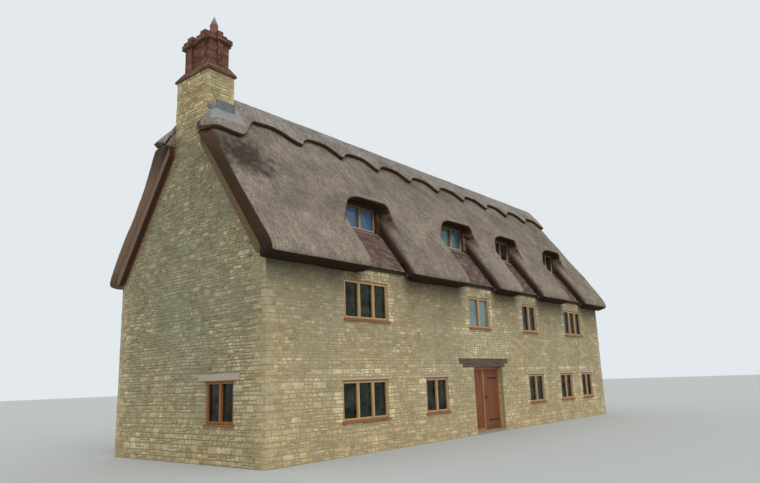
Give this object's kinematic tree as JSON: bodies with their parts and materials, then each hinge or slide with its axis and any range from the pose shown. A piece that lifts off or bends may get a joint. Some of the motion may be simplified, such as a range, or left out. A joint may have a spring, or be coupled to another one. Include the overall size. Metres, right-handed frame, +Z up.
{
  "type": "thatched cottage",
  "caption": "Long stone cottage with a steep thatched roof, eyebrow dormers, a scalloped ridge, a chimney on one gable and a hinged front door.",
  "frame": {"origin": "middle of the bounding box on the ground, at the underside of the walls", "axes": "+X along the ridge away from the chimney gable, +Y from the front wall to the rear wall, +Z up"},
  "size_m": [19.011, 6.742, 11.3806],
  "materials": {
    "stone": "coursed rubble limestone, matt",
    "thatch": "weathered reed thatch, matt",
    "ridge_thatch": "sedge ridge, matt",
    "roof_timber": "sawn softwood",
    "floor_timber": "boards and joists",
    "floor_slab": "stone flags on a slab",
    "window_timber": "stained timber, satin",
    "door_timber": "stained boards, satin",
    "oak": "weathered oak",
    "brick": "red brick, matt",
    "clay": "fired clay, matt",
    "cowl_metal": "dull grey sheet metal",
    "window_glass": "clear glazing"
  },
  "bodies": {
    "house": {"front_wall_left": "stone", "front_wall_over_door": "stone", "front_wall_right": "stone", "rear_wall": "stone", "gable_wall_near": "stone", "gable_wall_far": "stone", "chimney_stack": "stone", "ground_floor": "floor_slab", "first_floor": "floor_timber", "attic_floor": "floor_timber", "roof_frame_front": "roof_timber", "roof_frame_rear": "roof_timber", "thatch_front": "thatch", "thatch_rear": "thatch", "ridge_cap": "ridge_thatch", "chimney_brickwork": "brick", "chimney_pot": "clay", "chimney_cowl": "cowl_metal", "upper_window_1": "window_timber", "upper_glass_1": "window_glass", "upper_window_2": "window_timber", "upper_glass_2": "window_glass", "upper_window_3": "window_timber", "upper_glass_3": "window_glass", "upper_window_4": "window_timber", "upper_glass_4": "window_glass", "lower_window_1": "window_timber", "lower_glass_1": "window_glass", "lower_window_2": "window_timber", "lower_glass_2": "window_glass", "lower_window_3": "window_timber", "lower_glass_3": "window_glass", "lower_window_4": "window_timber", "lower_glass_4": "window_glass", "lower_window_5": "window_timber", "lower_glass_5": "window_glass", "rear_upper_window_1": "window_timber", "rear_upper_glass_1": "window_glass", "rear_upper_window_2": "window_timber", "rear_upper_glass_2": "window_glass", "rear_lower_window_1": "window_timber", "rear_lower_glass_1": "window_glass", "rear_lower_window_2": "window_timber", "rear_lower_glass_2": "window_glass", "gable_window": "window_timber", "gable_glass": "window_glass", "dormer_window_1": "window_timber", "dormer_glass_1": "window_glass", "dormer_window_2": "window_timber", "dormer_glass_2": "window_glass", "dormer_window_3": "window_timber", "dormer_glass_3": "window_glass", "dormer_window_4": "window_timber", "dormer_glass_4": "window_glass", "door_lintel": "oak", "door_frame": "door_timber"},
    "front_door": {"front_door": "door_timber"}
  },
  "joints": [
    {"name": "front_door_hinge", "type": "hinge", "parent": "house", "child": "front_door", "pos_m": [0.5352, -2.678, 0.36], "axis": [0, 0, -1], "range_deg": [0, 90]}
  ]
}
